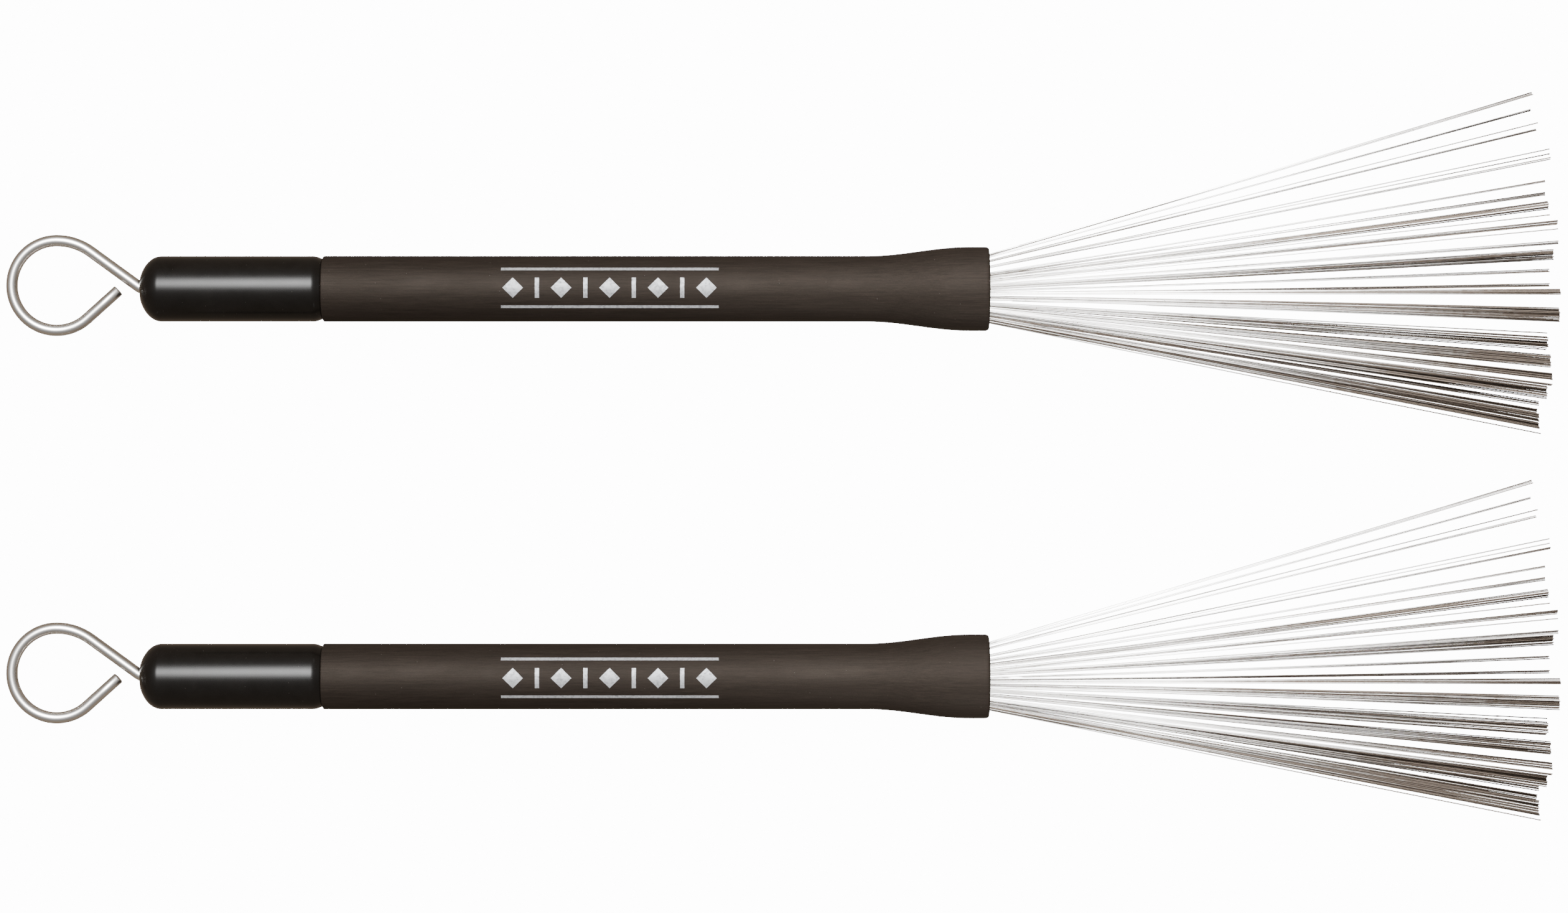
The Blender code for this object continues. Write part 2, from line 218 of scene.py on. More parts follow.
# scattered tiny specks
def makeSpecks():
    group, nodes, links, given, result = newGroup(
        "dustSpecks", {"Specks per Metre": 1500.0, "Size": 0.12, "Share": 0.3}, ("Mask",)
    )
    vectorIn = group.interface.new_socket("Vector", in_out="INPUT", socket_type="NodeSocketVector")
    place = given.outputs[vectorIn.name]
    cells = nodes.new("ShaderNodeTexVoronoi")
    links.new(place, cells.inputs["Vector"])
    links.new(given.outputs["Specks per Metre"], cells.inputs["Scale"])
    near = mathNode(nodes, links, "LESS_THAN", cells.outputs["Distance"], given.outputs["Size"])
    parts = nodes.new("ShaderNodeSeparateColor")
    links.new(cells.outputs["Color"], parts.inputs[0])
    chosen = mathNode(nodes, links, "LESS_THAN", parts.outputs[0], given.outputs["Share"])
    links.new(mathNode(nodes, links, "MULTIPLY", near, chosen), result.inputs["Mask"])
    return group


grainGroup, handlingGroup, specksGroup = makeGrain(), makeHandling(), makeSpecks()


def newMaterial(name):
    material = bpy.data.materials.new(name)
    material.use_nodes = True
    nodes, links = material.node_tree.nodes, material.node_tree.links
    return material, nodes, links, nodes["Principled BSDF"]


def placed(nodes, links, group, vector, **values):  # a shared group with its own values
    node = nodes.new("ShaderNodeGroup")
    node.node_tree = group
    links.new(vector, node.inputs["Vector"])
    for label, value in values.items():
        node.inputs[label.replace("_", " ")].default_value = value
    return node


def objectPlace(nodes):
    return nodes.new("ShaderNodeTexCoord").outputs["Object"]


def blended(nodes, links, factor, first, second):
    node = nodes.new("ShaderNodeMix")
    node.data_type = "RGBA"
    if isinstance(factor, bpy.types.NodeSocket):
        links.new(factor, node.inputs["Factor"])
    else:
        node.inputs["Factor"].default_value = factor
    colourSockets = [s for s in node.inputs if s.type == "RGBA"]
    for socket, item in zip(colourSockets, (first, second)):
        if isinstance(item, bpy.types.NodeSocket):
            links.new(item, socket)
        else:
            socket.default_value = (*item, 1.0)
    return [s for s in node.outputs if s.type == "RGBA"][0]


def bumped(nodes, links, shader, height, strength, distance):
    node = nodes.new("ShaderNodeBump")
    node.inputs["Strength"].default_value = strength
    node.inputs["Distance"].default_value = distance
    links.new(height, node.inputs["Height"])
    links.new(node.outputs["Normal"], shader.inputs["Normal"])


gripLook = {
    "dark": (0.0022, 0.0015, 0.0012),
    "light": (0.0250, 0.0186, 0.0150),
    "polished": (0.0120, 0.0088, 0.0071),
    "roughLow": 0.57,
    "roughHigh": 0.64,
    "tint": (1.0, 0.86, 0.74),  # of its gloss
    "dust": (0.16, 0.15, 0.14),
    "grainDepth": 0.00004,
    "gloss": 0.25,
}


def gripRubber():
    look = gripLook
    material, nodes, links, shader = newMaterial("gripRubber")
    place = objectPlace(nodes)
    grain = placed(nodes, links, grainGroup, place, Lines_per_Metre=2600.0, Stretch=0.045,
                   Contrast=1.0, Breaks=90.0)
    fine = placed(nodes, links, grainGroup, place, Lines_per_Metre=9000.0, Stretch=0.06,
                  Contrast=0.8, Breaks=260.0)
    wear = placed(nodes, links, handlingGroup, place, Patches_per_Metre=55.0, Cover=0.42,
                  Softness=0.12)
    dust = placed(nodes, links, specksGroup, place, Specks_per_Metre=900.0, Size=0.07, Share=0.12)
    both = mathNode(nodes, links, "MULTIPLY_ADD", fine.outputs["Mask"], 0.5,
                    mathNode(nodes, links, "MULTIPLY", grain.outputs["Mask"], 0.5))
    colour = blended(nodes, links, both, look["dark"], look["light"])
    smooth = mathNode(nodes, links, "MULTIPLY", wear.outputs["Mask"], 0.25)
    colour = blended(nodes, links, smooth, colour, look["polished"])
    colour = blended(nodes, links, mathNode(nodes, links, "MULTIPLY", dust.outputs["Mask"], 0.35),
                     colour, look["dust"])
    links.new(colour, shader.inputs["Base Color"])
    links.new(ranged(nodes, links, wear.outputs["Mask"], 0, 1, look["roughHigh"], look["roughLow"]),
              shader.inputs["Roughness"])
    height = mathNode(nodes, links, "MULTIPLY_ADD", fine.outputs["Height"], 0.4,
                      grain.outputs["Height"])
    bumped(nodes, links, shader, height, 0.7, look["grainDepth"])
    shader.inputs["Specular Tint"].default_value = (*look["tint"], 1)
    shader.inputs["Specular IOR Level"].default_value = look["gloss"]
    return material


capLook = {
    "colour": (0.0046, 0.0038, 0.0031),
    # the cap's worn patches, a real colour of the cap
    "wornAndShaded": (0.0080, 0.0068, 0.0060),
    "dust": (0.10, 0.09, 0.08),
    "roughness": (0.17, 0.25),
    "gloss": 0.2,
    "sheen": 0.06,  # the brownish bloom round its edges
    "sheenTint": (1.0, 0.72, 0.45),
    "sheenRoughness": 0.3,
}


def capPlastic():
    look = capLook
    material, nodes, links, shader = newMaterial("capPlastic")
    place = objectPlace(nodes)
    wear = placed(nodes, links, handlingGroup, place, Patches_per_Metre=240.0, Cover=0.5,
                  Softness=0.3)
    scuffs = placed(nodes, links, grainGroup, place, Lines_per_Metre=4200.0, Stretch=0.08,
                    Contrast=0.7, Breaks=300.0)
    dust = placed(nodes, links, specksGroup, place, Specks_per_Metre=1400.0, Size=0.09, Share=0.14)
    colour = blended(nodes, links, wear.outputs["Mask"], look["colour"], look["wornAndShaded"])
    colour = blended(nodes, links, mathNode(nodes, links, "MULTIPLY", dust.outputs["Mask"], 0.5),
                     colour, look["dust"])
    links.new(colour, shader.inputs["Base Color"])
    low, high = look["roughness"]
    mixed = mathNode(nodes, links, "MULTIPLY_ADD", scuffs.outputs["Mask"], 0.35,
                     mathNode(nodes, links, "MULTIPLY", wear.outputs["Mask"], 0.65))
    links.new(ranged(nodes, links, mixed, 0, 1, low, high), shader.inputs["Roughness"])
    bumped(nodes, links, shader, mathNode(nodes, links, "ADD", wear.outputs["Mask"],
                                          scuffs.outputs["Height"]), 0.12, 0.00002)
    shader.inputs["Sheen Weight"].default_value = look["sheen"]
    shader.inputs["Sheen Roughness"].default_value = look["sheenRoughness"]
    shader.inputs["Sheen Tint"].default_value = (*look["sheenTint"], 1)
    shader.inputs["Specular IOR Level"].default_value = look["gloss"]
    return material


rodLook = {
    "bright": (0.90, 0.89, 0.87),
    "dull": (0.66, 0.63, 0.60),
    "edge": (0.31, 0.265, 0.225),
    "dust": (0.2, 0.17, 0.15),
    "roughness": (0.23, 0.31),
}


def rodSteel():  # lines follow the rod through its bends, by the drawn attribute
    look = rodLook
    material, nodes, links, shader = newMaterial("rodSteel")
    along = nodes.new("ShaderNodeAttribute")
    along.attribute_name = "drawn"
    place = along.outputs["Vector"]
    lines = placed(nodes, links, grainGroup, place, Lines_per_Metre=7000.0, Stretch=0.02,
                   Contrast=0.9, Breaks=400.0)
    wear = placed(nodes, links, handlingGroup, place, Patches_per_Metre=160.0, Cover=0.4,
                  Softness=0.2)
    dust = placed(nodes, links, specksGroup, place, Specks_per_Metre=2200.0, Size=0.08, Share=0.1)
    shade = mathNode(nodes, links, "MULTIPLY_ADD", lines.outputs["Mask"], 0.4,
                     mathNode(nodes, links, "MULTIPLY", wear.outputs["Mask"], 0.4))
    colour = blended(nodes, links, shade, look["bright"], look["dull"])
    colour = blended(nodes, links, mathNode(nodes, links, "MULTIPLY", dust.outputs["Mask"], 0.6),
                     colour, look["dust"])
    links.new(colour, shader.inputs["Base Color"])
    shader.inputs["Metallic"].default_value = 1.0
    low, high = look["roughness"]
    links.new(ranged(nodes, links, shade, 0, 0.8, low, high), shader.inputs["Roughness"])
    bumped(nodes, links, shader, lines.outputs["Height"], 0.08, 0.00002)
    shader.inputs["Specular Tint"].default_value = (*look["edge"], 1)
    return material


wireLook = {
    "bright": (0.92, 0.91, 0.89),
    # the darkest tone: reached through real lines and wear, and through painted shade towards the tips
    # and on the fan's full side
    "dull": (0.112, 0.091, 0.075),
    "edge": (0.34, 0.28, 0.235),
    "dust": (0.10, 0.08, 0.07),
    "roughness": (0.10, 0.36),
    "shadeStart": 0.062,  # metres from the root before the painted shade of the tips begins
    "wornAndShaded": 0.15,  # metres from the root to where the painted shade of the tips is darkest
    "tipShading": (-0.15, 0.92),  # shade at those two places
    "lineShare": 0.22,
    "wearShare": 0.16,
    "ownShare": 0.95,
    "dustShare": 0.7,
}


def wireSteel():  # bright near the tube, darker towards the tips by painted shade, with patches of handling wear
    look = wireLook
    material, nodes, links, shader = newMaterial("wireSteel")
    along = nodes.new("ShaderNodeAttribute")
    along.attribute_name = "drawn"
    place = along.outputs["Vector"]
    parts = nodes.new("ShaderNodeSeparateXYZ")
    links.new(place, parts.inputs[0])
    own = nodes.new("ShaderNodeAttribute")
    own.attribute_name = "ownShade"
    lines = placed(nodes, links, grainGroup, place, Lines_per_Metre=3000.0, Stretch=0.02,
                   Contrast=1.0, Breaks=150.0)
    wear = placed(nodes, links, handlingGroup, objectPlace(nodes), Patches_per_Metre=420.0,
                  Cover=0.45, Softness=0.15)
    dust = placed(nodes, links, specksGroup, place, Specks_per_Metre=1500.0, Size=0.2, Share=0.12)
    # painted shade: the wire's colour darkens from the root towards the tips
    paintedTipShade = ranged(nodes, links, parts.outputs["X"], look["shadeStart"], look["wornAndShaded"], *look["tipShading"])
    shade = mathNode(nodes, links, "MULTIPLY_ADD", lines.outputs["Mask"], look["lineShare"],
                     mathNode(nodes, links, "MULTIPLY", wear.outputs["Mask"], look["wearShare"]))
    shade = mathNode(nodes, links, "MULTIPLY_ADD", own.outputs["Fac"], look["ownShare"], shade)
    shade = mathNode(nodes, links, "MULTIPLY_ADD", shade, 0.9, paintedTipShade)
    shade = mathNode(nodes, links, "SUBTRACT", shade, 0.28)
    shade = ranged(nodes, links, shade, 0.0, 1.0)
    colour = blended(nodes, links, shade, look["bright"], look["dull"])
    dusty = mathNode(nodes, links, "MULTIPLY", dust.outputs["Mask"], look["dustShare"])
    colour = blended(nodes, links, dusty, colour, look["dust"])
    links.new(colour, shader.inputs["Base Color"])
    shader.inputs["Metallic"].default_value = 1.0
    low, high = look["roughness"]
    links.new(ranged(nodes, links, shade, 0, 1, low, high), shader.inputs["Roughness"])
    bumped(nodes, links, shader, lines.outputs["Height"], 0.1, 0.00002)
    shader.inputs["Specular Tint"].default_value = (*look["edge"], 1)
    return material


printLook = {"bright": (0.46, 0.47, 0.49), "dull": (0.13, 0.135, 0.14), "roughness": (0.38, 0.55)}


def silverPrint():
    look = printLook
    material, nodes, links, shader = newMaterial("silverPrint")
    place = objectPlace(nodes)
    speckle = placed(nodes, links, handlingGroup, place, Patches_per_Metre=1700.0, Cover=0.42,
                     Softness=0.12)
    grain = placed(nodes, links, grainGroup, place, Lines_per_Metre=2600.0, Stretch=0.06,
                   Contrast=0.9, Breaks=90.0)
    shade = mathNode(nodes, links, "MULTIPLY_ADD", speckle.outputs["Mask"], 0.6,
                     mathNode(nodes, links, "MULTIPLY", grain.outputs["Mask"], 0.4))
    links.new(blended(nodes, links, shade, look["bright"], look["dull"]),
              shader.inputs["Base Color"])
    shader.inputs["Metallic"].default_value = 0.35
    low, high = look["roughness"]
    links.new(ranged(nodes, links, shade, 0, 1, low, high), shader.inputs["Roughness"])
    bumped(nodes, links, shader, speckle.outputs["Mask"], 0.2, 0.00002)
    return material


def innerMetal(name, bright, dull, roughness, lines, stretch):
    material, nodes, links, shader = newMaterial(name)
    place = objectPlace(nodes)
    grain = placed(nodes, links, grainGroup, place, Lines_per_Metre=lines, Stretch=stretch,
                   Contrast=0.9, Breaks=200.0)
    wear = placed(nodes, links, handlingGroup, place, Patches_per_Metre=180.0, Cover=0.45,
                  Softness=0.2)
    shade = mathNode(nodes, links, "MULTIPLY_ADD", grain.outputs["Mask"], 0.6,
                     mathNode(nodes, links, "MULTIPLY", wear.outputs["Mask"], 0.4))
    links.new(blended(nodes, links, shade, bright, dull), shader.inputs["Base Color"])
    shader.inputs["Metallic"].default_value = 1.0
    links.new(ranged(nodes, links, shade, 0, 1, roughness[0], roughness[1]),
              shader.inputs["Roughness"])
    bumped(nodes, links, shader, grain.outputs["Height"], 0.25, 0.00003)
    return material


def innerPlain(name, light, dark, roughness, patches, bump):
    material, nodes, links, shader = newMaterial(name)
    place = objectPlace(nodes)
    wear = placed(nodes, links, handlingGroup, place, Patches_per_Metre=patches, Cover=0.5,
                  Softness=0.25)
    dust = placed(nodes, links, specksGroup, place, Specks_per_Metre=1600.0, Size=0.1, Share=0.15)
    colour = blended(nodes, links, wear.outputs["Mask"], light, dark)
    colour = blended(nodes, links, mathNode(nodes, links, "MULTIPLY", dust.outputs["Mask"], 0.4),
                     colour, (0.2, 0.19, 0.17))
    links.new(colour, shader.inputs["Base Color"])
    links.new(ranged(nodes, links, wear.outputs["Mask"], 0, 1, roughness[0], roughness[1]),
              shader.inputs["Roughness"])
    bumped(nodes, links, shader, wear.outputs["Mask"], bump, 0.00003)
    return material


looks = {
    "grip": gripRubber(),
    "cap": capPlastic(),
    "rod": rodSteel(),
    "wire": wireSteel(),
    "print": silverPrint(),
    "handle_tube": innerMetal("tubeAluminium", (0.78, 0.79, 0.80), (0.60, 0.61, 0.62),
                              (0.24, 0.42), 5000.0, 0.03),
    "ferrule": innerMetal("ferruleSteel", (0.66, 0.65, 0.63), (0.42, 0.40, 0.38),
                          (0.22, 0.4), 3500.0, 1.0),
    "rod_clip": innerMetal("clipSteel", (0.50, 0.49, 0.48), (0.30, 0.29, 0.28),
                           (0.25, 0.45), 6000.0, 1.0),
    "rear_bush": innerPlain("bushNylon", (0.80, 0.78, 0.71), (0.68, 0.65, 0.57),
                            (0.38, 0.52), 300.0, 0.2),
    "slide_guide": innerPlain("guideNylon", (0.82, 0.80, 0.74), (0.66, 0.63, 0.56),
                              (0.36, 0.5), 380.0, 0.2),
    "friction_ring": innerPlain("ringRubber", (0.022, 0.021, 0.020), (0.035, 0.033, 0.031),
                                (0.55, 0.7), 900.0, 0.4),
}
print("materials made:", len(looks))


gripShape = {
    "segments": 128,
    "rearRound": 0.00035,  # radius of the edge against the cap
    "jointReach": 0.0001,  # towards the cap, so that only a dark line is left between them
    "flareStart": 0.0265,  # behind the mouth
    "flareEnd": 0.0040,
    "flareSteps": 28,
    "lipRound": 0.0009,
    "lipDrop": 0.00041,
    "lipFlat": 0.00034,
    "mouthWall": 0.00127,
    "touchGap": 0.0003,  # between the sleeve and the tube that it is pushed on to
    "tubeWall": 0.0005,
}


def makeGrip(side):
    s = gripShape
    axis = axisOf(side)
    low, high = corners(f"{side}_grip_sleeve")
    rear, mouth = low.x - s["jointReach"], high.x
    plain = reachOut(f"{side}_grip_sleeve", side, rear, (rear + mouth) / 2)
    flare = (high.y - low.y) / 2
    edge = s["rearRound"]
    outline = arcPoints((rear + edge, plain - edge), edge, edge, 180, 90, 6)
    for i in range(s["flareSteps"] + 1):
        share = i / s["flareSteps"]
        ease = (1 - math.cos(math.pi * share)) / 2
        x = mouth - s["flareStart"] + (s["flareStart"] - s["flareEnd"]) * share
        outline.append((x, plain + (flare - plain) * ease))
    lipOuter = flare - s["lipDrop"]
    lipInner = lipOuter - s["lipFlat"]
    outline += arcPoints((mouth - s["lipRound"], lipOuter), s["lipRound"], s["lipDrop"], 90, 0, 8)
    bore = flare - s["mouthWall"]
    soft = lipInner - bore
    outline += arcPoints((mouth - soft, lipInner), soft, soft, 0, -90, 6)
    tubeLow, tubeHigh = corners(f"{side}_handle_tube")
    tubeRadius = (tubeHigh.y - tubeLow.y) / 2
    shoulder = tubeHigh.x + s["touchGap"]
    sleeveBore = tubeRadius + s["touchGap"]
    outline += [(shoulder, tubeRadius - s["tubeWall"]), (shoulder, sleeveBore), (rear, sleeveBore)]
    bm = turned(outline, axis, s["segments"])
    finished(f"{side}_grip", bm, looks["grip"], f"{side}_handle", f"{side}_grip_sleeve")
    return plain


capShape = {
    "segments": 128,
    "dome": 0.00445,
    "flatRing": 0.0007,
    "taperLength": 0.0021,
    "taperDrop": 0.0005,
    "endWall": 0.0054,
    "rodHole": 0.00155,
    "funnelRise": 0.00065,
    "funnelDepth": 0.0013,
    "sleeveBore": 0.0061,
    "edgeRound": 0.00025,
    "jointReach": 0.00014,  # towards the grip
}


def makeCap(side):
    s = capShape
    axis = axisOf(side)
    low, high = corners(f"{side}_butt_cap")
    rear, front = low.x, high.x + s["jointReach"]
    radius = (high.y - low.y) / 2
    funnel = s["rodHole"] + s["funnelRise"]
    flatAngle = math.degrees(math.asin((funnel + s["flatRing"]) / radius))
    domeReach = s["dome"] / math.cos(math.radians(flatAngle))
    edge = s["edgeRound"]
    shoulder = radius - s["taperDrop"]
    outline = arcPoints((front - edge, shoulder - edge), edge, edge, 0, 75, 4)
    for i in range(1, 9):  # the taper runs out into the barrel in a soft curve
        share = i / 8
        x = front - edge - (s["taperLength"] - edge) * share
        outline.append((x, shoulder + s["taperDrop"] * math.sin(share * math.pi / 2)))
    outline += arcPoints((rear + s["dome"], 0), domeReach, radius, 90, 180 - flatAngle, 20)
    outline += [
        (rear, funnel),
        (rear + s["funnelDepth"], s["rodHole"]),
        (rear + s["endWall"], s["rodHole"]),
        (rear + s["endWall"], s["sleeveBore"]),
        (front, s["sleeveBore"]),
    ]
    bm = turned(outline, axis, s["segments"])
    finished(f"{side}_cap", bm, looks["cap"], f"{side}_handle", f"{side}_butt_cap")


rodShape = {
    "sides": 28,
    "radius": 0.00125,
    "bendRadius": 0.0035,
    "armLength": 0.01256,
    "armAngle": 36,
    "armArc": 0.0125,
    "loopRadius": 0.0097,
    "freeEndAngle": 42,
    "opening": 0.0033,  # from the free end to the arm's centre line
    "funnelDepth": 0.0013,
    "endRound": 0.00012,
    "stepDegrees": 4,
}


def makeRod(side):
    s = rodShape
    axis = axisOf(side)
    capRear = corners(f"{side}_butt_cap")[0].x
    front = corners(f"{side}_pull_rod")[1].x
    bm = bmesh.new()
    drawn = bm.verts.layers.float_vector.new("drawn")
    start = Vector((front, axis.y, axis.z))
    ring = bmesh.ops.create_circle(bm, cap_ends=False, segments=s["sides"],
                                   radius=s["radius"] - s["endRound"],
                                   matrix=facing(start, (-1, 0, 0)))["verts"]
    for vert in ring:
        vert[drawn] = (0, vert.co.y - axis.y, vert.co.z - axis.z)
    edges = list(bm.edges)
    state = {"edges": edges, "point": start, "heading": math.pi, "gone": 0.0}

    def move(matrix, length):
        state["edges"], verts = carry(bm, state["edges"], matrix)
        state["gone"] += length
        for vert in verts:
            vert[drawn] = (state["gone"], vert[drawn][1], vert[drawn][2])

    def grow(step, factor):  # the small round at a cut end
        heading = Vector((math.cos(state["heading"]), math.sin(state["heading"]), 0))
        place = facing(state["point"], heading)
        scale = Matrix.Diagonal((factor, factor, 1, 1))
        state["point"] = state["point"] + heading * step
        move(Matrix.Translation(heading * step) @ place @ scale @ place.inverted(), step)

    def straight(length, steps=1):
        heading = Vector((math.cos(state["heading"]), math.sin(state["heading"]), 0))
        for _ in range(steps):
            move(Matrix.Translation(heading * length / steps), length / steps)
        state["point"] = state["point"] + heading * length

    def bend(radius, degrees):
        side90 = math.copysign(math.pi / 2, degrees)
        h = state["heading"] + side90
        centre = state["point"] + radius * Vector((math.cos(h), math.sin(h), 0))
        steps = math.ceil(abs(degrees) / s["stepDegrees"])
        turn = math.radians(degrees) / steps
        spin = (Matrix.Translation(centre) @ Matrix.Rotation(turn, 4, "Z")
                @ Matrix.Translation(-centre))
        for _ in range(steps):
            move(spin, radius * abs(turn))
            state["point"] = spin @ state["point"]
            state["heading"] += turn

    factor = s["radius"] / (s["radius"] - s["endRound"])
    bmesh.ops.edgeloop_fill(bm, edges=state["edges"])
    grow(s["endRound"], factor)
    straight(front - s["endRound"] - (capRear + s["funnelDepth"]), 6)
    bend(s["bendRadius"], -s["armAngle"])
    armStart, armHeading = state["point"].copy(), state["heading"]
    straight(s["armLength"], 2)
    bend(s["armArc"], s["armAngle"])
    bend(s["loopRadius"], 180 + s["freeEndAngle"])
    arm = Vector((math.cos(armHeading), math.sin(armHeading)))
    ahead = Vector((math.cos(state["heading"]), math.sin(state["heading"])))
    left = arm.cross((armStart - state["point"]).to_2d()) / arm.cross(ahead) - s["opening"]
    straight(left - s["endRound"], 2)
    grow(s["endRound"], 1 / factor)
    bmesh.ops.edgeloop_fill(bm, edges=state["edges"])
    finished(f"{side}_rod_wire", bm, looks["rod"], f"{side}_rod", f"{side}_pull_rod", 50)


wireShape = {
    "sides": 6,
    "radius": 0.00015,
    "tipRagged": 0.00018,  # how unevenly the wires of one clump are cut
    "clumpRagged": 0.0006,
    "ribbonPitch": 0.00026,  # between neighbours in a clump, at the tips
    "waver": 0.00022,  # sideways bow of a clump
    "ownWaver": 0.00005,  # and of each wire in it
    "shadedWireShare": 0.3,  # of the wires are painted dark from end to end, as shade between the wires
    "rise": 0.0009,  # how far a wire stands above or below its clump at the tip
    "rootDepth": 0.0024,  # into the ferrule
    "bendBehindMouth": 0.0100,
    "slice": 0.0005,  # reach in which a node's vertices are looked for
    "tipScatter": 0.00002,
    "inset": 1.4,  # radii between a wire's middle and its lock's side
}
# for each lock: the clumps that its wires lie in at the tips, as (metres from the lock's middle,
# towards the fan's thin side, and number of wires)
clumps = (
    ((0.0016, 3), (-0.0019, 2)),
    ((0.0009, 1), (-0.0006, 2)),
    ((0.0012, 1), (0.0002, 1), (-0.0008, 2)),
    ((0.0015, 2), (-0.0012, 3)),
    ((0.0004, 7), (-0.0017, 1)),
    ((0.0021, 4), (0.0007, 1), (-0.0022, 3)),
    ((0.0, 9),),
    ((0.0018, 3), (-0.0013, 3)),
    ((0.0, 5),),
    ((0.0, 12),),
    ((0.0018, 1), (-0.0001, 9), (-0.0016, 2)),
    ((0.0, 11),),
    ((0.0005, 6), (-0.0013, 2)),
    ((0.0, 11),),
    ((0.0009, 4), (-0.0009, 5)),
    ((0.0005, 13), (-0.0022, 1)),
)


def wirePath(root, bend, tip, bow):  # points from the ferrule through the bend to the tip
    points = [root]
    for share in (0.5, 0.8):
        points.append(root.lerp(bend, share))
    for share in (0.02, 0.12, 0.3, 0.52, 0.76, 1.0):
        side = bow * math.sin(math.pi * share)
        points.append(bend.lerp(tip, share) + side)
    return points


def addWire(bm, points, drawn, ownShade, shade, lane):
    s = wireShape
    edges, before, gone = None, None, 0.0
    for i, point in enumerate(points):
        direction = points[min(i + 1, len(points) - 1)] - points[max(i - 1, 0)]
        place = facing(point, direction)
        if edges is None:
            ring = bmesh.ops.create_circle(bm, cap_ends=True, segments=s["sides"],
                                           radius=s["radius"], matrix=place)["verts"]
            edges = list({e for v in ring for e in v.link_edges})
            for vert in ring:
                around = place.inverted() @ vert.co
                vert[drawn] = (0, around.x + lane, around.y)
                vert[ownShade] = shade
        else:
            gone += (point - points[i - 1]).length
            edges, ring = carry(bm, edges, place @ before.inverted())
            for vert in ring:
                vert[drawn] = (gone, vert[drawn][1], vert[drawn][2])
        before = place
    bmesh.ops.edgeloop_fill(bm, edges=edges)


def within(spots, x, share, upDown):  # a place in the room that the spots take up
    inset = wireShape["radius"] * wireShape["inset"]
    low = Vector(min(p[i] for p in spots) for i in range(3))
    high = Vector(max(p[i] for p in spots) for i in range(3))
    y = high.y - inset + (low.y - high.y + 2 * inset) * share
    z = low.z + inset + (high.z - low.z - 2 * inset) * upDown
    return Vector((x, y, z))


def makeWires(side, number, chance):
    s = wireShape
    node = f"{side}_wire_lock_{number:02d}"
    low, high = corners(node)
    axis = axisOf(side)
    rootSpots = pointsBetween(node, low.x, low.x + s["rootDepth"])
    tipSpots = pointsBetween(node, high.x - s["slice"], high.x)
    tipMiddle = sum(tipSpots, Vector()) / len(tipSpots)
    bendX = axis.x - s["bendBehindMouth"]
    bendSpots = pointsBetween(node, bendX - s["slice"], bendX + s["slice"])
    wires = []
    for offset, count in clumps[number - 1]:
        reach = chance.uniform(-1, 1) * s["clumpRagged"]
        bow = Vector((0, chance.uniform(-1, 1), chance.uniform(-1, 1))) * s["waver"]
        for i in range(count):
            across = (i - (count - 1) / 2) * s["ribbonPitch"]
            wires.append((offset - across, reach, bow))
    bm = bmesh.new()
    drawn = bm.verts.layers.float_vector.new("drawn")
    ownShade = bm.verts.layers.float.new("ownShade")
    total = len(wires)
    for i, (offset, reach, bow) in enumerate(wires):
        share = (i + 0.5) / total
        upDown = chance.uniform(0.12, 0.88)
        root = within(rootSpots, low.x + s["radius"], share, upDown)
        bend = within(bendSpots, bendX, share, upDown)
        tip = Vector((
            high.x - s["clumpRagged"] + reach * 0.9 - chance.random() * s["tipRagged"],
            tipMiddle.y + offset + chance.gauss(0, s["tipScatter"]),
            tipMiddle.z + (upDown - 0.5) * 2 * s["rise"],
        ))
        own = Vector((0, chance.uniform(-1, 1), chance.uniform(-1, 1))) * s["ownWaver"]
        fullness = (number / lockCount) ** 2  # the fan's full side is painted darker, as shade among its dense wires
        # painted shade: some wires dark all along stand in for the shade between the wires; the rest
        # vary in tone at random
        shadedWire = 0.95 if chance.random() < s["shadedWireShare"] else 0.3 * chance.random()
        shade = shadedWire + 0.6 * fullness
        lane = 0.01 * (i + 20 * number)  # keeps the patterns of two wires apart
        addWire(bm, wirePath(root, bend, tip, bow + own), drawn, ownShade, shade, lane)
    finished(f"{side}_wires_{number:02d}", bm, looks["wire"], node, node, 60)


printShape = {
    "from": 0.1051,  # behind the mouth
    "to": 0.0583,
    "lift": 0.00003,
    "ruleAt": (0.0043, -0.0043),  # round the grip from its top line
    "ruleWidth": 0.0007,
    "diamonds": 9,
    "diamondSize": 0.0022,
    "barLength": 0.0009,
}


def wrapped(bm, axis, radius):  # rolls a flat pattern in XY on to the grip's top
    for vert in bm.verts:
        turn = vert.co.y / radius
        out = radius + vert.co.z
        vert.co = Vector((vert.co.x, axis.y + out * math.sin(turn), axis.z + out * math.cos(turn)))


def makePrint(side, gripRadius):
    s = printShape
    axis = axisOf(side)
    bm = bmesh.new()
    start, end = axis.x - s["from"], axis.x - s["to"]

    def bar(middleX, middleY, lengthX, lengthY, columns, rows):
        size = Matrix.Diagonal((lengthX / 2, lengthY / 2, 1, 1))
        bmesh.ops.create_grid(bm, x_segments=columns, y_segments=rows, size=1,
                              matrix=Matrix.Translation((middleX, middleY, 0)) @ size)

    middle, length = (start + end) / 2, end - start
    for y in s["ruleAt"]:
        bar(middle, y, length, s["ruleWidth"], 24, 2)
    pitch = length / s["diamonds"]
    for i in range(s["diamonds"]):
        x = start + pitch * (i + 0.5)
        if i % 2:
            bar(x, 0, s["barLength"], s["diamondSize"] * 2, 1, 8)
        else:
            made = bmesh.ops.create_circle(
                bm, cap_ends=True, segments=4, radius=s["diamondSize"],
                matrix=Matrix.Translation((x, 0, 0)))["verts"]
            edges = list({e for v in made for e in v.link_edges})
            bmesh.ops.subdivide_edges(bm, edges=edges, cuts=5, use_grid_fill=True)
    for vert in bm.verts:
        vert.co.z = s["lift"]
    wrapped(bm, axis, gripRadius)
    bmesh.ops.recalc_face_normals(bm, faces=bm.faces)
    finished(f"{side}_grip_print", bm, looks["print"], f"{side}_handle")


